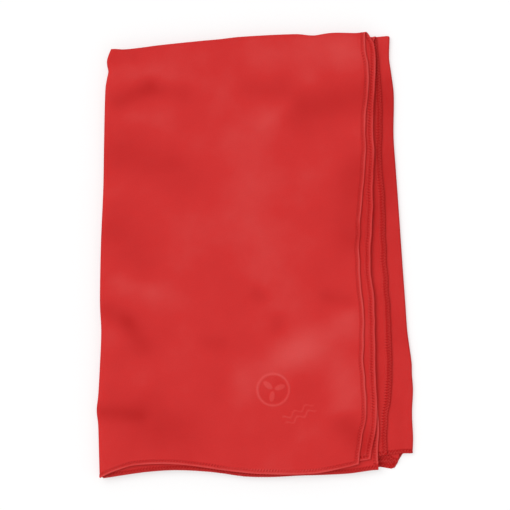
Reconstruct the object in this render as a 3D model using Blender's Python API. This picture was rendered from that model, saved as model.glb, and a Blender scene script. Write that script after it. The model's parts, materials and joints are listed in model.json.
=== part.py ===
"""A microfibre towel, folded to an eighth and lying flat.

One cloth of about 1.3 by 1.0 m is doubled at the top, and the doubled cloth is then
folded back and forth into four passes, so that the pile has eight layers.
+Z is up and +Y runs from the open hems to the top fold. The pile rests at z = 0.
"""
import math

import bmesh
import bpy

MM = 0.001

# The cloth and the pile
THICKNESS = 1.0 * MM
PITCH = 1.5 * MM                 # from the middle of one layer to the middle of the next
LAYERS = 8
PILE = (LAYERS - 1) * PITCH + THICKNESS
FIRST_LIFT = 1.2 * MM            # the uppermost pass lies looser than the ones under it
LIFT_HEIGHTS = (4.3, 6.3)        # in pitches: no lift up to the first, and all of it from the second
COLOUR = (0.61, 0.035, 0.035, 1.0)

# Cells of the cloth's mesh
PASS_CELLS = 10                  # across one pass
PLY_CELLS = 14                   # from the open hem to the top fold
TOP_CELLS = 4                    # around the top fold
TURN_CELLS = (6, 4, 4)           # around the outer left, right and inner left folds

# Each pass runs from one side to the other: its direction, and the height of its middle in pitches
PASSES = (("left", 6.5), ("right", 0.5), ("left", 2.5), ("right", 4.5))
TURN_HEIGHT = (3.5, 1.5, 3.5)    # middle of each side fold, in pitches
TURN_RADIUS = (3.0, 1.0, 1.0)

# Side edges, as (y, x) in millimetres from the open hems to the top fold
LEFT_FOLD = ((-252, -176.2), (-222, -177.1), (-192, -178), (-176, -179.7), (-160, -178), (-135, -176.5),
             (-87, -174.5), (-60, -175.8), (-40, -175.9), (17, -174.7), (75, -172.2), (123, -171.4),
             (188, -169.8), (200, -168), (211, -166.4), (223, -168), (234, -168))
INNER_LEFT_FOLD = ((-252, -171.5), (-60, -165), (233, -152))
RIGHT_FOLD = ((-225, 179.2), (-208, 179.8), (-180, 178.6), (-153, 179.7), (-135, 178.5), (-123, 178.2),
              (-100, 175), (-85, 173.1), (-52, 170.8), (-17, 168.2), (51, 163.5), (101, 159.9), (135, 157.6),
              (183, 157.8), (208, 154.7), (224, 152.5), (248, 153.4))
FIRST_OUTER = ((-235, 117), (-222, 118.6), (-205, 121.4), (-185, 125.2), (-165, 126), (-145, 124.4),
               (-115, 122.3), (-85, 123.3), (-65, 122.9), (-40, 120.4), (-20, 118.7), (12, 118), (50, 120),
               (90, 123.6), (120, 125.2), (155, 124.8), (185, 128.2), (213, 128), (230, 125.2), (251, 123.3))
FIRST_INNER = ((-231, 130.2), (-213, 133.5), (-190, 137.6), (-165, 138.1), (-132, 136.2), (-100, 135.5),
               (-75, 135.6), (-50, 134.8), (-20, 131), (15, 131.2), (50, 133.1), (88, 133.4), (115, 134.8),
               (146, 133.2), (185, 135.1), (213, 136.1), (250, 135.2))
LAST_INNER = ((-244, 139.5), (-218, 138.8), (-195, 140.7), (-150, 136), (-60, 132), (0, 127),
              (100, 131), (250, 131))
LAST_OUTER = ((-226, 149.8), (-212, 149), (-195, 150), (-178, 151), (-160, 154), (-140, 155), (-113, 155),
              (-60, 152.8), (5, 148.5), (65, 147), (104, 143.4), (166, 144), (247, 138.4))

# The inner ply turns back short of the outer one at the right fold, as (y, distance)
RIGHT_NESTING = ((-237, 16), (-225, 13), (-150, 12), (0, 7), (230, 3))

# Open hems, as (x, y) in millimetres, for each pass: outer ply, then inner ply
HEMS = (
    (((-175, -251.6), (-158, -244), (-135, -237.4), (-87, -236.6), (-24, -245), (8, -248),
      (65, -247.8), (107, -239), (120, -235.2)),
     ((-175, -249), (-140, -237), (-100, -232), (-24, -240), (65, -242), (107, -235), (131, -231))),
    (((-175, -251.6), (-119, -245), (-87, -243), (-24, -248), (60, -248), (120, -242), (142, -240),
      (150, -242), (157, -244), (160, -241), (164, -232.5), (167, -226.5), (170, -225), (178, -225)),
     ((-175, -249), (-87, -241), (60, -244), (140, -236), (160, -236.5))),
    (((-170, -247), (-87, -240), (60, -240), (130, -230), (165, -225.3), (178, -225)),
     ((-170, -250), (-87, -242), (60, -246), (135, -231), (150, -230), (160, -236))),
    (((-170, -247), (-87, -240), (60, -240), (130, -230), (149.3, -226.4)),
     ((-170, -252.6), (-143, -248.3), (-119, -245.2), (-90, -243.5), (-55, -245.1), (-35, -247.4),
      (-12, -250.7), (20, -251.3), (50, -249.7), (79, -248.8), (107, -247.2), (132, -243.7), (139.5, -243.2))),
)

# Top folds, as (x, y): that of the first pass, and that of the passes under it
FIRST_TOP = ((-175, 231), (-160, 232.8), (-148, 232.3), (-130, 234.1), (-109, 236.9), (-63, 241.7), (-40, 243.8),
             (-16, 246.5), (46, 249.5), (66, 248), (80, 250.2), (90, 251.1), (100, 251), (116, 250.8),
             (122, 251.8), (129, 251.6))
OTHER_TOP = ((-175, 212), (-150, 221), (-109, 232), (-16, 243), (60, 245), (128, 246.9), (140, 247.8), (153, 249))
TOP_DEPTH = 1.1 * MM             # from the end of the flat plies to the middle of the top fold
TOP_JOIN = 0.03                  # share of a ply's length where its side edge nears the other ply's
JOINED = (0.1, 0.4)              # how near each ply's side edge comes at the top, from outer to inner

# Soft ridges and troughs left by folding: ends (x, y, x, y), half width and height in millimetres
RELIEF_BASE = 2.6 * MM
CREASES = (
    (-153, 172, -118, 190, 15, -0.8), (-118, 190, -82, 183, 15, -0.7), (45, 168, 122, 180, 20, -1.3),
    (-140, 60, -132, -14, 26, -1.0), (-104, 124, -104, 67, 18, -0.6), (-166, -62, -125, -104, 15, -0.9),
    (-172, -178, -93, -164, 15, -0.9), (-126, -205, -85, -215, 24, -1.1), (100, 86, 104, 14, 20, -0.9),
    (30, -90, 80, -106, 22, 1.3), (96, -146, 100, -166, 16, 0.7), (100, 235, 18, 150, 18, 0.8),
    (0, 120, 0, 20, 28, 0.5),
)


def along(points, place):
    """Smooth curve through (place, value) points in millimetres, read at one place in metres."""
    place = min(max(place / MM, points[0][0]), points[-1][0])
    last = len(points) - 1
    step = 0
    while step < last - 1 and place > points[step + 1][0]:
        step += 1

    def slope(index):
        low, high = points[max(index - 1, 0)], points[min(index + 1, last)]
        return (high[1] - low[1]) / (high[0] - low[0])

    (start, first), (end, second) = points[step], points[step + 1]
    span = end - start
    t = (place - start) / span
    value = ((1 + 2 * t) * (1 - t) ** 2 * first + t * t * (3 - 2 * t) * second
             + span * t * (1 - t) * ((1 - t) * slope(step) - t * slope(step + 1)))
    return value * MM


def mix(a, b, share):
    return a + (b - a) * share


def ramp(low, high, value):
    """Smooth step from 0 at low to 1 at high."""
    t = min(max((value - low) / (high - low), 0.0), 1.0)
    return t * t * (3 - 2 * t)


def left_edge(outer, y):
    """Where the straight layers start beside the outer or the inner left fold."""
    fold, radius = (LEFT_FOLD, TURN_RADIUS[0]) if outer else (INNER_LEFT_FOLD, TURN_RADIUS[2])
    return along(fold, y) + (radius + 0.5) * PITCH + THICKNESS / 2


def right_edge(number, y, inner):
    """Where a pass ends on the right; inner is 0 on the outer ply and 1 on the inner one."""
    if number == 0:
        return mix(along(FIRST_OUTER, y), along(FIRST_INNER, y), inner)
    if number == 3:
        return mix(along(LAST_OUTER, y), along(LAST_INNER, y), inner)
    bend = (TURN_RADIUS[1] + 0.5) * PITCH + THICKNESS / 2
    return along(RIGHT_FOLD, y) - bend - inner * along(RIGHT_NESTING, y)


def hem_edge(number, x, inner):
    """Where a pass starts at its open hem."""
    return mix(along(HEMS[number][0], x), along(HEMS[number][1], x), inner)


def top_edge(number, x):
    """Where a pass's plies start to turn into the top fold."""
    return along(FIRST_TOP if number == 0 else OTHER_TOP, x) - TOP_DEPTH - THICKNESS / 2


def relief(x, y):
    """Height of the uppermost layer over a flat pile, never below zero."""
    height = RELIEF_BASE
    for x0, y0, x1, y1, width, rise in CREASES:
        run_x, run_y = (x1 - x0) * MM, (y1 - y0) * MM
        from_x, from_y = x - x0 * MM, y - y0 * MM
        share = (from_x * run_x + from_y * run_y) / (run_x ** 2 + run_y ** 2)
        share = min(max(share, 0.0), 1.0)
        away = math.hypot(from_x - share * run_x, from_y - share * run_y)
        height += rise * MM * math.exp(-(away / (width * MM)) ** 2)
    return max(height, 0.0)


def place(stretch, share, side, rise, inner):
    """Point of the cloth: a stretch across it, and side, rise and inner down it.

    Even stretches are passes and odd ones are the folds between them. side is the place off the
    middle of the doubled cloth in pitches, and rise the share of the way up to the top fold.
    """
    number = stretch // 2
    folding = stretch % 2 == 1
    heading = PASSES[number][0]
    across = share if heading == "right" else 1.0 - share
    if folding:
        across = 1.0 if heading == "right" else 0.0
    outer = number == 0 or (number == 1 and not folding)

    # The hems curve and the sides slant, so each place across and down is found from the other
    x, y = 0.0, 0.0
    for closer in range(4):
        here = mix(hem_edge(number, x, inner), top_edge(number, x), min(rise, 1.0))
        if folding:
            after = mix(hem_edge(number + 1, x, inner), top_edge(number + 1, x), min(rise, 1.0))
            here = mix(here, after, share)
        y = here + max(rise - 1.0, 0.0) * TOP_DEPTH
        x = mix(left_edge(outer, y), right_edge(number, y, inner), across)

    # Around the fold, or level along the pass
    if folding:
        radius = (TURN_RADIUS[number] + (side if number < 2 else -side)) * PITCH
        angle = math.pi * share
        x += (radius if heading == "right" else -radius) * math.sin(angle)
        down = 1.0 if number == 0 else -1.0
        z = TURN_HEIGHT[number] * PITCH + down * radius * math.cos(angle)
    else:
        z = (PASSES[number][1] + (side if heading == "left" else -side)) * PITCH
    z += THICKNESS / 2
    z += relief(x, y) * (z / PILE) ** 2 + FIRST_LIFT * ramp(*LIFT_HEIGHTS, z / PITCH)
    return x, y, z


def stations_across():
    """Every row of points across the cloth, as (stretch, share)."""
    rows = []
    for number in range(len(PASSES)):
        for cell in range(PASS_CELLS + 1):
            rows.append((2 * number, cell / PASS_CELLS))
        if number < len(TURN_CELLS):
            for cell in range(1, TURN_CELLS[number]):
                rows.append((2 * number + 1, cell / TURN_CELLS[number]))
    return rows


def stations_down():
    """Every row of points down the cloth, as (side, rise, inner)."""
    outer_ply, fold, inner_ply = [], [], []
    for cell in range(PLY_CELLS + 1):
        rise = cell / PLY_CELLS
        near_top = max(0.0, (rise - 1 + TOP_JOIN) / TOP_JOIN)
        outer_ply.append((0.5, rise, mix(0.0, JOINED[0], near_top)))
        inner_ply.append((-0.5, rise, mix(1.0, JOINED[1], near_top)))
    for cell in range(1, TOP_CELLS):
        turned = cell / TOP_CELLS
        angle = math.pi * turned
        fold.append((0.5 * math.cos(angle), 1.0 + math.sin(angle), mix(JOINED[0], JOINED[1], turned)))
    return outer_ply + fold + inner_ply[::-1]


def make_towel():
    mesh = bpy.data.meshes.new("towel")
    across = stations_across()
    down = stations_down()
    shape = bmesh.new()
    grid = [[shape.verts.new(place(*row, *column)) for column in down] for row in across]
    for row, after in zip(grid, grid[1:]):
        for index in range(len(down) - 1):
            shape.faces.new((row[index], row[index + 1], after[index + 1], after[index]))
    bmesh.ops.recalc_face_normals(shape, faces=shape.faces)
    shape.to_mesh(mesh)
    shape.free()
    towel = bpy.data.objects.new("towel", mesh)
    bpy.context.scene.collection.objects.link(towel)
    mesh.shade_smooth()

    solid = towel.modifiers.new("Cloth", "SOLIDIFY")
    solid.thickness = THICKNESS
    solid.offset = 0.0
    solid.use_even_offset = True
    return towel


def microfibre():
    cloth = bpy.data.materials.new("red_microfibre")
    cloth.use_nodes = True
    shader = cloth.node_tree.nodes["Principled BSDF"]
    shader.inputs["Base Color"].default_value = COLOUR
    shader.inputs["Roughness"].default_value = 0.9
    shader.inputs["Metallic"].default_value = 0.0
    return cloth


for old in list(bpy.data.objects):
    bpy.data.objects.remove(old)
make_towel().data.materials.append(microfibre())
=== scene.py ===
"""A red microfibre towel, folded to an eighth, lying on a pale surface in soft light."""
import json
import math

import bmesh
import bpy
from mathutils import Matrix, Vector, noise

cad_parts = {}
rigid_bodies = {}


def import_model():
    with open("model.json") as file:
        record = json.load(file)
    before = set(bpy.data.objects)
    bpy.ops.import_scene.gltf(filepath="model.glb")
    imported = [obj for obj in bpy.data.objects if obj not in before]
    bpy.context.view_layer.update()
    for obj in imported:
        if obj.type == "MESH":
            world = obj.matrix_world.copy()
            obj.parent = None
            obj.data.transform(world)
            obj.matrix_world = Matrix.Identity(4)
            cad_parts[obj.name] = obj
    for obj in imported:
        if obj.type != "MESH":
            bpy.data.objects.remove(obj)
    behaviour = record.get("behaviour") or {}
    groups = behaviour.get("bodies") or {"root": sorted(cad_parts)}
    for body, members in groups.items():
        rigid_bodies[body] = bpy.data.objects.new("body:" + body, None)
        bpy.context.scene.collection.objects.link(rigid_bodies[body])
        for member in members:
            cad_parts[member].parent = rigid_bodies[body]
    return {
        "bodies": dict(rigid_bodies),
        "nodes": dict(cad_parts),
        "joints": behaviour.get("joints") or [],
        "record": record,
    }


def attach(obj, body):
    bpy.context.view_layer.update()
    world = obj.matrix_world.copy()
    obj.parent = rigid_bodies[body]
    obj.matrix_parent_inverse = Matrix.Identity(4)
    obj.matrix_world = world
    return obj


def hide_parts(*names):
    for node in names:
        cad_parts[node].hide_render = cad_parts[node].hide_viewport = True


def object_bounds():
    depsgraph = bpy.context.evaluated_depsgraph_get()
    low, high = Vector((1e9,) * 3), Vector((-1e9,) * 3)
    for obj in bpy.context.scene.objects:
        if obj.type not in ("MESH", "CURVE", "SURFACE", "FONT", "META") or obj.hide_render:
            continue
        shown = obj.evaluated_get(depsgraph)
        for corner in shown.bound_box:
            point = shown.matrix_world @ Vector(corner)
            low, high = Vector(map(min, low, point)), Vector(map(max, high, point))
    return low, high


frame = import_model()
cad_low, cad_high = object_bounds()

# --- Towel cloth ---------------------------------------------------------------------------
# One cloth of brushed polyester and polyamide microfibre with a suede face. It is doubled at
# the top, and the doubled cloth is folded back and forth into four passes of two plies.
# Its edges are pressed thin under the overlock and end in a raised lip.

MM = 0.001
THICKNESS = 1.0 * MM
PITCH = 1.5 * MM
PILE = 7 * PITCH + THICKNESS
FIRST_LIFT = 1.2 * MM
LIFT_HEIGHTS = (4.3, 6.3)

# Each pass: where it heads and the height of its middle in pitches. Then the folds between them.
PASSES = (("left", 6.5), ("right", 0.5), ("left", 2.5), ("right", 4.5))
TURN_HEIGHT = (3.5, 1.5, 3.5)
TURN_RADIUS = (3.0, 1.0, 1.0)

# Side edges, as (y, x) in millimetres from the open hems to the top fold
LEFT_FOLD = ((-252, -176.2), (-222, -177.1), (-192, -178), (-176, -179.7), (-160, -178),
             (-135, -176.5), (-87, -174.5), (-60, -175.8), (-40, -175.9), (17, -174.7), (75, -172.2),
             (123, -171.4), (188, -169.8), (200, -168), (211, -166.4), (223, -168), (234, -168))
INNER_LEFT_FOLD = ((-252, -173.6), (-240, -172.2), (-60, -165), (233, -152))
RIGHT_FOLD = ((-225, 179.2), (-208, 179.8), (-180, 178.6), (-153, 179.7), (-135, 178.5), (-123, 178.2),
              (-100, 175), (-85, 173.1), (-52, 170.8), (-17, 168.2), (51, 163.5), (101, 159.9), (135, 157.6),
              (183, 157.8), (208, 154.7), (224, 152.5), (248, 153.4))
FIRST_OUTER = ((-235, 117), (-222, 118.6), (-205, 121.4), (-185, 125.2), (-165, 126), (-145, 124.4),
               (-115, 122.3), (-85, 123.3), (-65, 122.9), (-40, 120.4), (-20, 118.7), (12, 118), (50, 120),
               (90, 123.6), (120, 125.2), (155, 124.8), (185, 128.2), (213, 128), (230, 125.2), (251, 123.3))
FIRST_INNER = ((-231, 130.2), (-213, 133.5), (-190, 137.6), (-165, 138.1), (-132, 136.2), (-100, 135.5),
               (-75, 135.6), (-50, 134.8), (-20, 131), (15, 131.2), (50, 133.1), (88, 133.4), (115, 134.8),
               (146, 133.2), (185, 135.1), (213, 136.1), (250, 135.2))
LAST_INNER = ((-244, 139.5), (-218, 138.8), (-195, 140.7), (-150, 136), (-60, 132), (0, 127),
              (100, 131), (250, 131))
LAST_OUTER = ((-226, 149.8), (-212, 149), (-195, 150), (-178, 151), (-160, 154), (-140, 155), (-113, 155),
              (-60, 152.8), (5, 148.5), (65, 147), (104, 143.4), (166, 144), (247, 138.4))
RIGHT_NESTING = ((-237, 16), (-225, 13), (-150, 12), (0, 7), (230, 3))

# Open hems, as (x, y) in millimetres, for each pass: outer ply, then inner ply
HEMS = (
    (((-175, -251.6), (-158, -244), (-135, -237.4), (-87, -236.6), (-24, -244.6), (8, -247.4),
      (65, -247.1), (107, -239), (120, -235.2)),
     ((-175, -249), (-140, -237), (-100, -232), (-24, -240), (65, -242), (107, -235), (131, -231))),
    (((-175, -251.6), (-119, -245), (-87, -243), (-24, -248), (60, -248), (120, -242), (142, -241.2),
      (150, -242.4), (155, -243.2), (158, -242.8), (160, -240.8), (162, -237.5), (164.5, -231.5),
      (167, -227.5), (169, -225.6), (178, -225)),
     ((-175, -249), (-87, -241), (60, -244), (140, -236), (160, -236.5))),
    (((-170, -247), (-87, -240), (60, -240), (130, -230), (165, -225.3), (178, -225)),
     ((-170, -250), (-87, -242), (60, -246), (135, -231), (150, -230), (160, -236))),
    (((-170, -247), (-87, -240), (60, -240), (130, -230), (149.3, -226.4)),
     ((-170, -252.6), (-143, -248.3), (-119, -245.2), (-90, -243.5), (-55, -245.1), (-35, -247.4),
      (-12, -250.7), (20, -251.3), (50, -249.7), (79, -248.8), (107, -247.2), (132, -243.7),
      (139.5, -243.2))),
)
# Top folds, as (x, y): that of the first pass, and that of the passes under it
FIRST_TOP = ((-175, 231), (-160, 232.8), (-148, 232.3), (-130, 234.1), (-109, 236.9), (-63, 241.7),
             (-40, 243.8), (-16, 246.5), (46, 249.5), (66, 248), (80, 250.2), (90, 251.1), (100, 251),
             (116, 250.8), (122, 251.8), (129, 251.6))
OTHER_TOP = ((-175, 212), (-150, 221), (-109, 232), (-16, 243), (60, 245), (128, 246.9), (140, 247.8),
             (153, 249))
TOP_DEPTH = 1.1 * MM
# Near the top fold the two plies' side edges draw together, over this last share of the rise, to
# these places between the outer ply's own edge (0) and the inner ply's (1)
TOP_JOIN = 0.03
JOINED = (0.1, 0.4)
# How far the outer left fold slants at its two ends, and over what share of the rise
TOP_CORNER = 6.0 * MM
HEM_CORNER = 2.4 * MM
CORNER_REACH = 0.06

# Soft ridges and troughs left by folding: ends (x, y, x, y), half width and height in millimetres. They also
# set the colour: painted shade in the troughs and a painted highlight on the ridges.
CREASES = (
    (-153, 172, -118, 189, 11, -0.9), (-118, 189, -82, 183, 11, -0.7), (60, 165, 130, 180, 21, -1.0),
    (-10, 188, 50, 182, 13, -0.5), (-160, 112, -95, 96, 24, -0.7), (-160, 30, -130, 0, 26, -0.5),
    (-166, -62, -143, -76, 11, -0.8), (-143, -76, -125, -104, 11, -0.8), (-172, -178, -130, -180, 9, -0.9),
    (-125, -188, -85, -200, 28, -0.9), (3, -44, 5, -46, 9, -0.7), (26, -73, 25, -80, 9, -0.6),
    (-50, -98, -42, -100, 11, -0.6), (80, -46, 104, -52, 9, -0.6), (115, 90, 112, 20, 26, -0.8),
    (-10, -140, 40, -116, 16, 0.4), (36, -114, 62, -102, 22, 0.45), (60, -104, 108, -78, 19, 0.5),
    (98, -130, 102, -168, 17, 0.6), (20, 222, 95, 230, 24, 0.5), (60, 195, 10, 148, 12, 0.4),
    (-140, 206, -98, 202, 14, 0.3), (-145, 162, -100, 146, 14, 0.4), (-145, -34, -116, -42, 14, 0.5),
    (104, -192, 124, -214, 15, -1.1), (-160, 224, -138, 224, 8, -0.4), (0, 130, 0, -20, 34, 0.3),
    # The last three troughs, over the lower layers at the right, hardly lift them and mainly paint shade on
    # them
    (152, 190, 152, 60, 14, -0.9), (160, -170, 164, -215, 10, -0.4),
    (157, 30, 163, -150, 20, -0.35),
)
RELIEF_BASE = 2.6 * MM
PAINTED_SHADE_RISE = 1.2 * MM              # of a crease that deepens or lightens the painted shading by one step
# Slack that follows no crease, as (height, size across, size down, slice of the noise)
SLACK = ((0.30 * MM, 60 * MM, 60 * MM, 0.0), (0.10 * MM, 22 * MM, 30 * MM, 4.0))
# How the free side edges waver: by how much, how often, and how close to the edge
WAVER = 0.9 * MM
WAVER_LENGTH = 16 * MM
WAVER_FALL = 8

# The cloth laid flat: p runs across it and q down it, in metres, through passes and folds in turn
PASS_WIDTH = (0.292, 0.332, 0.320, 0.304)
TURN_WIDTH = [math.pi * radius * PITCH for radius in TURN_RADIUS]
PLY_LENGTH = 0.4905
TOP_WIDTH = math.pi * (TOP_DEPTH + PITCH / 2) / 2
ACROSS = sum(PASS_WIDTH) + sum(TURN_WIDTH)
DOWN = 2 * PLY_LENGTH + TOP_WIDTH


def along(points, spot):
    """Smooth curve through (place, value) points in millimetres, read at one place in metres."""
    spot = min(max(spot / MM, points[0][0]), points[-1][0])
    last = len(points) - 1
    step = 0
    while step < last - 1 and spot > points[step + 1][0]:
        step += 1

    def slope(index):
        low, high = points[max(index - 1, 0)], points[min(index + 1, last)]
        return (high[1] - low[1]) / (high[0] - low[0])

    (start, first), (end, second) = points[step], points[step + 1]
    span = end - start
    t = (spot - start) / span
    value = ((1 + 2 * t) * (1 - t) ** 2 * first + t * t * (3 - 2 * t) * second
             + span * t * (1 - t) * ((1 - t) * slope(step) - t * slope(step + 1)))
    return value * MM


def mix(a, b, share):
    return a + (b - a) * share


def ramp(low, high, value):
    """Smooth step from 0 at low to 1 at high."""
    t = min(max((value - low) / (high - low), 0.0), 1.0)
    return t * t * (3 - 2 * t)


def left_edge(outer, y):
    fold_line, radius = (LEFT_FOLD, TURN_RADIUS[0]) if outer else (INNER_LEFT_FOLD, TURN_RADIUS[2])
    return along(fold_line, y) + (radius + 0.5) * PITCH + THICKNESS / 2


def right_edge(number, y, inner):
    if number == 0:
        return mix(along(FIRST_OUTER, y), along(FIRST_INNER, y), inner)
    if number == 3:
        return mix(along(LAST_OUTER, y), along(LAST_INNER, y), inner)
    bend = (TURN_RADIUS[1] + 0.5) * PITCH + THICKNESS / 2
    return along(RIGHT_FOLD, y) - bend - inner * along(RIGHT_NESTING, y)


def hem_edge(number, x, inner):
    return mix(along(HEMS[number][0], x), along(HEMS[number][1], x), inner)


def top_edge(number, x):
    return along(FIRST_TOP if number == 0 else OTHER_TOP, x) - TOP_DEPTH - THICKNESS / 2


def crease_rise(x, y):
    """Height of the creases at a place, from about -1.5 to 1 mm."""
    height = 0.0
    for x0, y0, x1, y1, width, rise in CREASES:
        run_x, run_y = (x1 - x0) * MM, (y1 - y0) * MM
        from_x, from_y = x - x0 * MM, y - y0 * MM
        share = (from_x * run_x + from_y * run_y) / (run_x ** 2 + run_y ** 2)
        share = min(max(share, 0.0), 1.0)
        away = math.hypot(from_x - share * run_x, from_y - share * run_y)
        height += rise * MM * math.exp(-(away / (width * MM)) ** 2)
    return height


def relief(x, y):
    """Height of the uppermost layer over a flat pile, with slack that follows no crease."""
    height = RELIEF_BASE + crease_rise(x, y)
    for rise, across, down, layer in SLACK:
        height += rise * noise.noise(Vector((x / across, y / down, layer)))
    return max(height, 0.0)


def fold(stretch, share, side, rise, inner):
    """Point of the folded cloth. Even stretches are passes and odd ones the folds between them."""
    number = stretch // 2
    folding = stretch % 2 == 1
    heading = PASSES[number][0]
    across = share if heading == "right" else 1.0 - share
    if folding:
        across = 1.0 if heading == "right" else 0.0
    outer = number == 0 or (number == 1 and not folding)

    # The hems curve and the sides slant, so each place across and down is found from the other
    x, y = 0.0, 0.0
    for closer in range(3):
        here = mix(hem_edge(number, x, inner), top_edge(number, x), min(rise, 1.0))
        if folding:
            after = mix(hem_edge(number + 1, x, inner), top_edge(number + 1, x), min(rise, 1.0))
            here = mix(here, after, share)
        y = here + max(rise - 1.0, 0.0) * TOP_DEPTH
        x = mix(left_edge(outer, y), right_edge(number, y, inner), across)
    if not folding and number in (0, 3):
        free = across if number == 0 else share
        place = Vector((y / WAVER_LENGTH, number + 0.6 * inner, 9.0))
        x += WAVER * free ** WAVER_FALL * noise.noise(place)

    if folding:
        radius = (TURN_RADIUS[number] + (side if number < 2 else -side)) * PITCH
        angle = math.pi * share
        x += (radius if heading == "right" else -radius) * math.sin(angle)
        if number == 0:
            slant = TOP_CORNER * ramp(1.0 - CORNER_REACH, 1.0, rise)
            slant += HEM_CORNER * (1 - ramp(0.0, CORNER_REACH, rise))
            y -= slant * math.sin(angle)
        down = 1.0 if number == 0 else -1.0
        z = TURN_HEIGHT[number] * PITCH + down * radius * math.cos(angle)
    else:
        z = (PASSES[number][1] + (side if heading == "left" else -side)) * PITCH
    z += THICKNESS / 2
    z += relief(x, y) * (z / PILE) ** 2 + FIRST_LIFT * ramp(*LIFT_HEIGHTS, z / PITCH)
    return Vector((x, y, z))


def cloth_point(p, q):
    """Point of the folded cloth's middle from its place on the flat cloth."""
    stretch = 0
    widths = [PASS_WIDTH[0]]
    for turn_width, pass_width in zip(TURN_WIDTH, PASS_WIDTH[1:]):
        widths += [turn_width, pass_width]
    while stretch < len(widths) - 1 and p > widths[stretch]:
        p -= widths[stretch]
        stretch += 1
    share = p / widths[stretch]

    # The outer ply, the top fold, then the inner ply back down
    on_outer = q < DOWN / 2
    from_hem = q if on_outer else DOWN - q
    if from_hem < PLY_LENGTH:
        rise = from_hem / PLY_LENGTH
        near_top = max(0.0, (rise - 1 + TOP_JOIN) / TOP_JOIN)
        if on_outer:
            return fold(stretch, share, 0.5, rise, mix(0.0, JOINED[0], near_top))
        return fold(stretch, share, -0.5, rise, mix(1.0, JOINED[1], near_top))
    turned = (q - PLY_LENGTH) / TOP_WIDTH
    angle = math.pi * turned
    return fold(stretch, share, 0.5 * math.cos(angle), 1.0 + math.sin(angle), mix(*JOINED, turned))


# Thickness from the edge inwards, as (distance, thickness) in millimetres: the lip that the
# overlock covers, the groove of its stitch line, and the plain cloth
HEM_PROFILE = ((0.0, 0.6), (0.3, 1.1), (0.8, 1.4), (1.6, 1.4), (2.6, 1.15), (3.6, 0.8), (4.5, 0.5),
               (5.3, 0.8), (6.2, 1.0), (8.0, 1.0))
HEM_MOST = 1.4 * MM
HEM_WIDTH = HEM_PROFILE[-1][0] * MM
FLAT_LIP = 0.3                   # of the lip's height on the hems that lie pressed flat
LIP_UNEVEN = 0.5                 # how much the lip's height varies, in patches of this size
LIP_PATCH = 35 * MM
# Cells of the mesh: where the cloth shows, where other layers hide it, and how far in it shows
FINE = 4.0 * MM
COARSE = 11.0 * MM
SHOWN = 60 * MM
TURN_CELLS = (12, 8, 6)
TOP_CELLS = 8
# Painted light from the edge inwards, as (distance, step): a painted highlight on the lip with painted shade
# at its very rim, and painted shade in the groove
LIP_PAINTED_LIGHT = ((0.0, -0.9), (0.3, 0.6), (0.8, 1.8), (1.6, 1.1), (2.6, -0.2), (3.6, 0.0), (8.0, 0.0))
GROOVE_PAINTED_SHADE = ((0.0, 0.0), (2.6, -0.2), (3.6, -0.8), (4.5, -1.3), (5.3, -0.5), (6.2, 0.0), (8.0, 0.0))
FLAT_HEM_PAINTED_SHADOW = -2.4                  # painted shadow on the hems that lie pressed flat under other layers, fading out over this stretch
FLAT_HEM = (2.6 * MM, 5.3 * MM)
FOLD_PAINTED_SHADE = -1.1                  # painted shade along the folds, where the cloth turns away from the light
# Shares of a fold's width: its crest, and how far the painted shade fades out beside it
FOLD_CREST = 0.1
FOLD_FADE = 0.4
TOP_FADE = 0.5
SIDE_GROOVE = 0.8                # of the groove's painted shade, on all edges but the outer hem
OPEN_STRETCH = (0.050, 0.140)    # of the outer hem, where the groove lies open and its painted shade hardly shows
OPEN_FADE = 0.030
# How strongly the painted shade of the stitches' dents marks the cloth, from the edge inwards: the line on
# the face, and the safety seam's wider chain on the back
LINE_MARKS = ((0.0, 0.0), (2.6, 0.0), (3.6, 1.0), (4.5, 1.0), (5.3, 0.6), (6.2, 0.0), (8.0, 0.0))
CHAIN_MARKS = ((0.0, 0.0), (2.6, 0.0), (3.6, 1.0), (6.2, 1.0), (8.0, 0.0))
STITCH = 3.3 * MM                # a little coarser than the real 2.75 mm, so that the stitches show
STITCH_SLANT = 0.35              # of the marks, to the edge
# How tight the stitches are, from slack to tight, in patches of this size
TIGHTNESS = (0.25, 1.15)
TIGHT_PATCH = 30 * MM


def rows(start, end, cell):
    """Even rows of about one cell from start up to, but not at, end."""
    count = max(1, round((end - start) / cell))
    return [start + (end - start) * step / count for step in range(count)]


def rows_across():
    """Places across the flat cloth: fine where the face or an edge shows, close in the folds."""
    hem = [row[0] * MM for row in HEM_PROFILE]
    places = hem[:-1] + rows(HEM_WIDTH, PASS_WIDTH[0], FINE)
    at = PASS_WIDTH[0]
    places += rows(at, at + TURN_WIDTH[0], TURN_WIDTH[0] / TURN_CELLS[0])
    at += TURN_WIDTH[0]
    places += rows(at, at + PASS_WIDTH[1] - SHOWN, COARSE)
    at += PASS_WIDTH[1]
    places += rows(at - SHOWN, at, FINE)
    places += rows(at, at + TURN_WIDTH[1], TURN_WIDTH[1] / TURN_CELLS[1])
    at += TURN_WIDTH[1]
    places += rows(at, at + SHOWN, FINE)
    places += rows(at + SHOWN, at + PASS_WIDTH[2], COARSE)
    at += PASS_WIDTH[2]
    places += rows(at, at + TURN_WIDTH[2], TURN_WIDTH[2] / TURN_CELLS[2])
    at += TURN_WIDTH[2]
    places += rows(at, ACROSS - SHOWN, COARSE)
    places += rows(ACROSS - SHOWN, ACROSS - HEM_WIDTH, FINE)
    return places + [ACROSS - row for row in reversed(hem)]


def rows_down():
    """Places down the flat cloth, from the outer ply's hem to the inner ply's."""
    hem = [row[0] * MM for row in HEM_PROFILE]
    places = hem[:-1] + rows(HEM_WIDTH, PLY_LENGTH, FINE)
    places += rows(PLY_LENGTH, PLY_LENGTH + TOP_WIDTH, TOP_WIDTH / TOP_CELLS)
    places += rows(PLY_LENGTH + TOP_WIDTH, DOWN - SHOWN, COARSE)
    places += rows(DOWN - SHOWN, DOWN - HEM_WIDTH, FINE)
    return places + [DOWN - row for row in reversed(hem)]


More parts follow.
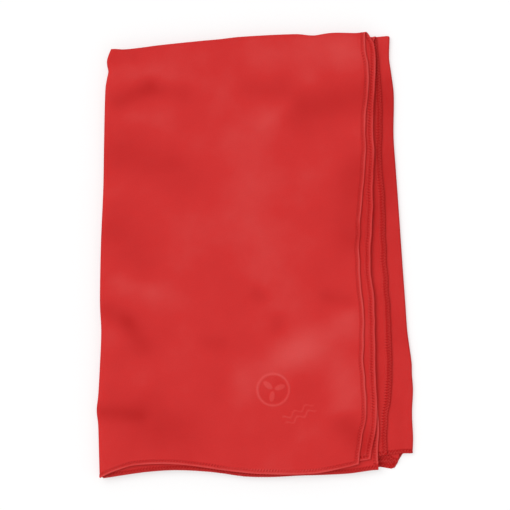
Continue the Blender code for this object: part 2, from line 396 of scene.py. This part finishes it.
def lip_height(p, q):
    """Share of its full height at which the lip stands, as uneven as a hem that has been folded."""
    last_side = p > ACROSS - HEM_WIDTH and q < DOWN / 2
    lower_hem = p > PASS_WIDTH[0] + TURN_WIDTH[0] and min(q, DOWN - q) < HEM_WIDTH
    even = FLAT_LIP if last_side or lower_hem else 1.0
    return even * (1 + LIP_UNEVEN * noise.noise(Vector((p / LIP_PATCH, q / LIP_PATCH, 7.0))))


def groove_shade_share(p, q):
    """Share of its full strength at which the groove's painted shade shows on the face and the back."""
    if q > HEM_WIDTH:
        return SIDE_GROOVE
    low, high = OPEN_STRETCH
    return 1 - ramp(low - OPEN_FADE, low, p) * (1 - ramp(high, high + OPEN_FADE, p))


def fold_painted_shade(p, q):
    """Painted shade along the side folds and the top fold, where the cloth turns away from the light."""
    colour_shift = 0.0
    at = 0.0
    for pass_width, turn_width in zip(PASS_WIDTH, TURN_WIDTH):
        at += pass_width + turn_width
        away = abs(p - at + turn_width / 2) - turn_width * FOLD_CREST
        colour_shift = min(colour_shift, FOLD_PAINTED_SHADE * (1 - ramp(0.0, turn_width * FOLD_FADE, away)))
    away = abs(q - DOWN / 2) - TOP_WIDTH * FOLD_CREST
    return min(colour_shift, FOLD_PAINTED_SHADE * (1 - ramp(0.0, TOP_WIDTH * TOP_FADE, away)))


def make_cloth():
    mesh = bpy.data.meshes.new("towel_cloth")
    across, down = rows_across(), rows_down()
    shape = bmesh.new()
    flat = shape.loops.layers.uv.new("flat")
    bulk = shape.verts.layers.deform.verify()
    painted_shading = shape.verts.layers.float.new("painted_shading")
    grid = []
    places = {}
    for p in across:
        line = []
        for q in down:
            point = shape.verts.new(cloth_point(p, q))
            from_edge = min(p, ACROSS - p, q, DOWN - q)
            lip = lip_height(p, q)
            point[bulk][0] = mix(THICKNESS, along(HEM_PROFILE, from_edge), lip) / HEM_MOST
            # Painted light in the colour: a highlight on the lip with shade at its rim, and shade in the
            # groove, on the flat hems under other layers and along the folds
            colour_shift = lip * along(LIP_PAINTED_LIGHT, from_edge) + groove_shade_share(p, q) * along(GROOVE_PAINTED_SHADE, from_edge)
            colour_shift += max(1 - lip, 0.0) * FLAT_HEM_PAINTED_SHADOW * MM * (1 - ramp(*FLAT_HEM, from_edge))
            colour_shift = colour_shift / MM + fold_painted_shade(p, q)
            # Painted shade in the creases' troughs and a painted highlight on their ridges, on top of that
            # painted light
            point[painted_shading] = crease_rise(point.co.x, point.co.y) / PAINTED_SHADE_RISE + colour_shift
            places[point] = (p, q)
            line.append(point)
        grid.append(line)
    for line, after in zip(grid, grid[1:]):
        for index in range(len(down) - 1):
            face = shape.faces.new((line[index], line[index + 1], after[index + 1], after[index]))
            for loop in face.loops:
                loop[flat].uv = places[loop.vert]
    shape.to_mesh(mesh)
    shape.free()
    cloth = bpy.data.objects.new("towel_cloth", mesh)
    bpy.context.scene.collection.objects.link(cloth)
    cloth.vertex_groups.new(name="bulk")
    return cloth


def thicken(cloth):
    """Gives the cloth its wall, with the back as a second material, and the strength and run of the painted
    shade of its stitches' dents.
    """
    bpy.ops.object.select_all(action="DESELECT")
    bpy.context.view_layer.objects.active = cloth
    cloth.select_set(True)
    wall = cloth.modifiers.new("Wall", "SOLIDIFY")
    wall.thickness = HEM_MOST
    wall.offset = 0.0
    wall.use_even_offset = True
    wall.vertex_group = "bulk"
    wall.material_offset = 1
    bpy.ops.object.modifier_apply(modifier=wall.name)
    seam = cloth.data.attributes.new("seam", "FLOAT", "POINT").data
    run = cloth.data.attributes.new("run", "FLOAT", "POINT").data
    flat = cloth.data.uv_layers["flat"].data
    for face in cloth.data.polygons:
        marks = CHAIN_MARKS if face.material_index == 1 else LINE_MARKS
        for loop in face.loop_indices:
            p, q = flat[loop].uv
            from_side, from_hem = min(p, ACROSS - p), min(q, DOWN - q)
            if min(from_side, from_hem) < HEM_WIDTH:
                point = cloth.data.loops[loop].vertex_index
                patch = noise.noise(Vector((p / TIGHT_PATCH, q / TIGHT_PATCH, 2.0)))
                tight = mix(*TIGHTNESS, ramp(-0.05, 0.3, patch))
                seam[point].value = along(marks, min(from_side, from_hem)) / MM * tight
                ahead, aside = (q, p) if from_side < from_hem else (p, q)
                run[point].value = ahead + STITCH_SLANT * aside
    # It is flat where it rests
    for point in cloth.data.vertices:
        point.co.z = max(point.co.z, 0.0)


def linear(hex_colour):
    """Linear RGBA from an sRGB hex colour."""
    channels = [int(hex_colour[at:at + 2], 16) / 255 for at in (1, 3, 5)]
    return [c / 12.92 if c <= 0.04045 else ((c + 0.055) / 1.055) ** 2.4 for c in channels] + [1.0]


def add(tree, kind, inputs=(), **settings):
    """Adds a node, sets its properties, and sets or links its inputs by name or number."""
    node = tree.nodes.new("ShaderNode" + kind)
    for name, value in settings.items():
        setattr(node, name, value)
    for name, value in dict(inputs).items():
        if isinstance(value, bpy.types.NodeSocket):
            tree.links.new(value, node.inputs[name])
        else:
            node.inputs[name].default_value = value
    return node


def split_microfibre(name, painted_shade_colour, even, painted_highlight_colour):
    """Polyester and polyamide knit, split and brushed to a suede-like pile: matte, and paler at a glance.

    Painted shade deepens the colour in the creases' troughs, the stitch grooves and dents, along the folds
    and on the hems under other layers, and a painted highlight makes it pinker on the ridges and lips.
    """
    material = bpy.data.materials.new(name)
    material.use_nodes = True
    tree = material.node_tree
    shader = tree.nodes["Principled BSDF"]
    flat = add(tree, "UVMap", uv_map="flat").outputs["UV"]
    painted_shading = add(tree, "Attribute", attribute_name="painted_shading").outputs["Fac"]

    # The nap also drifts from patch to patch, 60 mm across and less
    patches = add(tree, "TexNoise", {"Vector": flat, "Scale": 1 / 0.060, "Detail": 4.0, "Roughness": 0.55})
    drift = add(tree, "MapRange", {"Value": patches.outputs["Fac"], "From Min": 0.3, "From Max": 0.7,
                                   "To Min": -0.25, "To Max": 0.25})
    # Painted shade in the dents that the slanting stitches bite into the cloth along its edge, with a
    # painted highlight between them
    run = add(tree, "Attribute", attribute_name="run").outputs["Fac"]
    turns = add(tree, "Math", {0: run, 1: 2 * math.pi / STITCH}, operation="MULTIPLY").outputs[0]
    wave = add(tree, "Math", {0: turns}, operation="SINE").outputs[0]
    dent_shade = add(tree, "MapRange", {"Value": wave, "From Min": -0.5, "From Max": 0.5, "To Min": 0.8,
                                  "To Max": -1.6}).outputs["Result"]
    seam = add(tree, "Attribute", attribute_name="seam").outputs["Fac"]
    dent_shading = add(tree, "Math", {0: dent_shade, 1: seam}, operation="MULTIPLY").outputs[0]
    drifting = add(tree, "Math", {0: painted_shading, 1: drift.outputs["Result"]}).outputs[0]
    colour_shift = add(tree, "Math", {0: drifting, 1: dent_shading}).outputs[0]
    # Below zero the colour mixes toward the painted shade colour, above zero toward the painted highlight
    # colour
    shade_share = add(tree, "MapRange", {"Value": colour_shift, "From Min": -2.0, "From Max": 0.0})
    highlight_share = add(tree, "MapRange", {"Value": colour_shift, "From Min": 0.0, "From Max": 1.0})
    deep = add(tree, "Mix", {0: shade_share.outputs["Result"], 6: linear(painted_shade_colour), 7: linear(even)},
               data_type="RGBA")
    shade = add(tree, "Mix", {0: highlight_share.outputs["Result"], 6: deep.outputs[2], 7: linear(painted_highlight_colour)},
                data_type="RGBA")

    # Tufts, drawn 1.4 mm across, coarser than the real 0.3 mm, so that they show
    tufts = add(tree, "TexNoise", {"Vector": flat, "Scale": 1 / 0.0014, "Detail": 2.0, "Roughness": 0.6})
    speck = add(tree, "MapRange", {"Value": tufts.outputs["Fac"], "From Min": 0.3, "From Max": 0.7,
                                   "To Min": 0.965, "To Max": 1.035})
    colour = add(tree, "HueSaturation", {"Color": shade.outputs[2], "Value": speck.outputs["Result"]})
    tree.links.new(colour.outputs["Color"], shader.inputs["Base Color"])
    grain = add(tree, "Bump", {"Height": tufts.outputs["Fac"], "Strength": 0.25, "Distance": 0.3 * MM})
    tree.links.new(grain.outputs["Normal"], shader.inputs["Normal"])

    shader.inputs["Roughness"].default_value = 0.9
    shader.inputs["Specular IOR Level"].default_value = 0.04
    shader.inputs["Sheen Weight"].default_value = 0.05
    shader.inputs["Sheen Roughness"].default_value = 0.4
    shader.inputs["Sheen Tint"].default_value = linear("#F0A8A4")
    shader.inputs["Subsurface Weight"].default_value = 0.3
    shader.inputs["Subsurface Radius"].default_value = (1.0, 0.12, 0.12)
    shader.inputs["Subsurface Scale"].default_value = 1.2 * MM
    return material


cloth = make_cloth()
# Colours of each side: painted shade, even tone, painted highlight
cloth.data.materials.append(split_microfibre("suede_microfibre_face", "#B01E1E", "#CE3433", "#D74E4C"))
# The back's colours run a shade deeper than the face's: painted shade for the strips of back that show under
# the layers above
cloth.data.materials.append(split_microfibre("brushed_microfibre_back", "#AE1B1B", "#CD3130", "#D44443"))
thicken(cloth)

# The pressed mark near the lower edge: a ring round three petals, and two waves beside it
MARK = (20.6 * MM, -152 * MM)
MARK_RADIUS = 19 * MM
MARK_MARGIN = 3 * MM
RING_INSET = 1.2 * MM            # of the ring's crest from the mark's rim
RING_WIDTH = 1.3 * MM
RING_LIFT = 0.45 * MM
DISC_EDGE = (15 * MM, 18 * MM)
DISC_SINK = 0.12 * MM
PETAL_TURNS = (20, 140, 260)
PETAL_PLACE = 8.0 * MM
PETAL_SIZE = (6.5 * MM, 3.2 * MM)
PETAL_EDGE = (0.75, 1.1)         # shares of that size between which its slope falls
PETAL_LIFT = 0.40 * MM
WAVES_FROM = (30 * MM, -186 * MM)
WAVES_LENGTH = 42 * MM
WAVES_TILT = math.radians(28)
WAVES_APART = 7 * MM
WAVES_REACH = 12 * MM
WAVE_LENGTH = 14 * MM
WAVE_HEIGHT = 2.2 * MM
WAVE_WIDTH = 1.1 * MM
WAVE_LIFT = 0.35 * MM
WAVE_FADE = 5 * MM
MARK_PAINTED_LIGHT = 0.6 * MM              # of lift that shifts the painted light by one step: lighter where the mark stands up, deeper where it sinks
MARK_CUTS = 3                    # of each cell under the mark


def pressed(x, y):
    """How far the mark lifts the face, in metres."""
    dx, dy = x - MARK[0], y - MARK[1]
    away = math.hypot(dx, dy)
    lift = RING_LIFT * math.exp(-((away - MARK_RADIUS + RING_INSET) / RING_WIDTH) ** 2)
    lift -= DISC_SINK * (1 - ramp(*DISC_EDGE, away))
    for turn in PETAL_TURNS:
        angle = math.radians(turn)
        out = dx * math.cos(angle) + dy * math.sin(angle) - PETAL_PLACE
        aside = dy * math.cos(angle) - dx * math.sin(angle)
        petal = math.hypot(out / PETAL_SIZE[0], aside / PETAL_SIZE[1])
        lift += PETAL_LIFT * (1 - ramp(*PETAL_EDGE, petal))

    dx, dy = x - WAVES_FROM[0], y - WAVES_FROM[1]
    run = dx * math.cos(WAVES_TILT) + dy * math.sin(WAVES_TILT)
    aside = dy * math.cos(WAVES_TILT) - dx * math.sin(WAVES_TILT)
    ends = ramp(0.0, WAVE_FADE, run) * (1 - ramp(WAVES_LENGTH - WAVE_FADE, WAVES_LENGTH, run))
    for number in range(2):
        crest = WAVE_HEIGHT * math.sin(2 * math.pi * run / WAVE_LENGTH) - number * WAVES_APART
        lift += WAVE_LIFT * ends * math.exp(-((aside - crest) / WAVE_WIDTH) ** 2)
    return lift


def press_mark(cloth):
    """Splits the uppermost face's cells under the mark, and lifts them by it."""
    shape = bmesh.new()
    shape.from_mesh(cloth.data)
    low_x, high_x = MARK[0] - MARK_RADIUS - MARK_MARGIN, WAVES_FROM[0] + WAVES_LENGTH
    low_y, high_y = WAVES_FROM[1] - WAVES_REACH, MARK[1] + MARK_RADIUS + MARK_MARGIN

    def is_under_mark(place, normal):
        inside = low_x < place.x < high_x and low_y < place.y < high_y
        return inside and normal.z > 0.5 and place.z > PILE

    under = [face for face in shape.faces if is_under_mark(face.calc_center_median(), face.normal)]
    edges = {edge for face in under for edge in face.edges}
    bmesh.ops.subdivide_edges(shape, edges=list(edges), cuts=MARK_CUTS, use_grid_fill=True)
    painted_shading = shape.verts.layers.float["painted_shading"]
    for point in shape.verts:
        if is_under_mark(point.co, point.normal):
            lift = pressed(point.co.x, point.co.y)
            point.co.z += lift
            # Painted light: the colour lightens where the mark stands up and deepens where it sinks
            point[painted_shading] += lift / MARK_PAINTED_LIGHT
    shape.to_mesh(cloth.data)
    shape.free()
    cloth.data.shade_smooth()


press_mark(cloth)
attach(cloth, "root")
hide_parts("towel")

# --- Overlock ------------------------------------------------------------------------------
# Polyester thread sewn round all four edges on an overlock machine: loops that wrap the edge, a
# line of short stitches on the face, and a safety seam's chain on the back.

STEPS = 6                        # points of a looper thread to a stitch
LINE = 4.5 * MM                  # from the edge to the stitch line
FROM_CORNER = 2.0 * MM
LOOPER_WIDTH = 0.6 * MM
LINE_WIDTH = 0.4 * MM
CHAIN_WIDTH = 0.5 * MM
SUNK = 0.05 * MM                 # of each thread into the cloth
RIDGE = 0.55                     # of a thread's width, at which its middle stands over the cloth
# How far in the looper threads lie at each step of a stitch, and on the back the safety seam's chain
LOOPER = (LINE, 3.0 * MM, 1.0 * MM, -0.2 * MM, 1.0 * MM, 3.0 * MM)
CHAIN = (5.2 * MM, 5.6 * MM, 6.8 * MM, 7.6 * MM, 7.0 * MM, 5.8 * MM)


def edge_frames(edge, length):
    """The cloth's rim, its stitch line and its facing, at each step along one of its four edges."""
    rims, lines = [], []
    count = int((length - 2 * FROM_CORNER) / STITCH) * STEPS
    for step in range(count + 1):
        run = FROM_CORNER + step * STITCH / STEPS
        for inward, places in ((0.0, rims), (LINE, lines)):
            p, q = ((inward, run), (ACROSS - inward, run), (run, inward), (run, DOWN - inward))[edge]
            places.append(cloth_point(p, q))
    frames = []
    for step, (rim, line) in enumerate(zip(rims, lines)):
        ahead = rims[min(step + 1, count)] - rims[max(step - 1, 0)]
        facing = ahead.cross(line - rim) if edge in (0, 3) else (line - rim).cross(ahead)
        frames.append((rim, line, facing.normalized()))
    return frames


def hem_point(frame, inward, side):
    """Point on the hem and its facing. side is 1 on the face, -1 on the back and 0 on the rim."""
    rim, line, facing = frame
    surface = along(HEM_PROFILE, inward) / 2 - SUNK
    point = mix(rim, line, inward / LINE) + facing * side * surface
    return point, (facing * side if side else (rim - line).normalized())


def thread(shape, route, width):
    """Thread along points with facings: three-sided, flat on the cloth and ridged above it."""
    rings = []
    for index, (point, facing) in enumerate(route):
        before, after = route[max(index - 1, 0)][0], route[min(index + 1, len(route) - 1)][0]
        aside = (after - before).cross(facing).normalized() * width / 2
        offsets = (aside, facing * width * RIDGE, -aside)
        rings.append([shape.verts.new(point + offset) for offset in offsets])
    for ring, after in zip(rings, rings[1:]):
        for index in range(3):
            shape.faces.new((ring[index], ring[index - 1], after[index - 1], after[index]))
    shape.faces.new(rings[0])
    shape.faces.new(reversed(rings[-1]))


def make_overlock():
    """Looper threads round the rim, short stitches in the groove, and the chain on the back."""
    mesh = bpy.data.meshes.new("overlock_stitches")
    shape = bmesh.new()
    for edge, length in enumerate((DOWN, DOWN, ACROSS, ACROSS)):
        frames = edge_frames(edge, length)
        for side in (1, -1):
            route = []
            for step, frame in enumerate(frames):
                inward = LOOPER[step % STEPS]
                route.append(hem_point(frame, inward, side if inward > 0 else 0))
            thread(shape, route, LOOPER_WIDTH)
        for start in range(0, len(frames) - STEPS, STEPS):
            ends = (frames[start], frames[start + STEPS - 1])
            thread(shape, [hem_point(frame, LINE, 1) for frame in ends], LINE_WIDTH)
        chain = [hem_point(frame, CHAIN[step % STEPS], -1) for step, frame in enumerate(frames)]
        thread(shape, chain[::2], CHAIN_WIDTH)
    for point in shape.verts:
        point.co.z = max(point.co.z, 0.0)
    bmesh.ops.recalc_face_normals(shape, faces=shape.faces)
    shape.to_mesh(mesh)
    shape.free()
    stitches = bpy.data.objects.new("overlock_stitches", mesh)
    bpy.context.scene.collection.objects.link(stitches)
    mesh.shade_smooth()
    return stitches


def polyester_thread():
    """Textured polyester sewing thread: paler than the cloth, partly its own tone and partly a painted
    highlight for the light it catches on the lip, with a soft gloss.
    """
    material = bpy.data.materials.new("polyester_thread")
    material.use_nodes = True
    tree = material.node_tree
    shader = tree.nodes["Principled BSDF"]
    place = add(tree, "TexCoord").outputs["Object"]
    ply = add(tree, "TexNoise", {"Vector": place, "Scale": 1 / 0.002, "Detail": 1.0})
    shade = add(tree, "Mix", {0: ply.outputs["Fac"], 6: linear("#C8302F"), 7: linear("#E0504D")},
                data_type="RGBA")
    tree.links.new(shade.outputs[2], shader.inputs["Base Color"])
    shader.inputs["Roughness"].default_value = 0.7
    shader.inputs["Specular IOR Level"].default_value = 0.06
    return material


stitches = make_overlock()
stitches.data.materials.append(polyester_thread())
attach(stitches, "root")

# --- Surface, light and camera -------------------------------------------------------------
# A white table top lit a little from below, a large soft light high and a little to the upper
# left, and a camera straight above.

TABLE_SIZE = 40.0
TABLE_GLOW = 0.50
SURROUND = 0.72
KEY_STRENGTH = 1.25
KEY_ANGLE = 40
KEY_FROM = (-1.8, 1.1, 3.0)
VIEW_WIDTH = 0.5768
VIEW_HEIGHT = 0.7                # share of the towel's height at which that width is seen
LENS = 100.0
SENSOR = 36.0

bpy.ops.object.select_all(action="DESELECT")
bpy.ops.mesh.primitive_plane_add(size=TABLE_SIZE, location=(0, 0, cad_low.z - 0.1 * MM))
floor = bpy.context.object
floor.name = "floor"
paint = bpy.data.materials.new("matt_white_laminate")
paint.use_nodes = True
shader = paint.node_tree.nodes["Principled BSDF"]
grain = add(paint.node_tree, "TexNoise", {"Scale": 40.0, "Detail": 4.0})
shade = add(paint.node_tree, "Mix", {0: grain.outputs["Fac"], 6: linear("#B8B8B8"), 7: linear("#BCBCBC")},
            data_type="RGBA")
paint.node_tree.links.new(shade.outputs[2], shader.inputs["Base Color"])
shader.inputs["Roughness"].default_value = 0.8
shader.inputs["Specular IOR Level"].default_value = 0.1
shader.inputs["Emission Color"].default_value = linear("#FFFFFF")
shader.inputs["Emission Strength"].default_value = TABLE_GLOW
floor.data.materials.append(paint)

world = bpy.data.worlds.new("studio")
world.use_nodes = True
world.node_tree.nodes["Background"].inputs["Color"].default_value = (1, 1, 1, 1)
world.node_tree.nodes["Background"].inputs["Strength"].default_value = SURROUND
bpy.context.scene.world = world

light = bpy.data.lights.new("key", "SUN")
light.energy = KEY_STRENGTH
light.angle = math.radians(KEY_ANGLE)
key = bpy.data.objects.new("key", light)
bpy.context.scene.collection.objects.link(key)
key.location = KEY_FROM
key.rotation_euler = (-key.location).to_track_quat("-Z", "Y").to_euler()

view = bpy.data.cameras.new("camera")
view.sensor_width = SENSOR
view.lens = LENS
camera = bpy.data.objects.new("camera", view)
bpy.context.scene.collection.objects.link(camera)
camera.location = (0, 0, cad_high.z * VIEW_HEIGHT + VIEW_WIDTH * LENS / SENSOR)
bpy.context.scene.camera = camera
bpy.context.scene.view_settings.view_transform = "Standard"
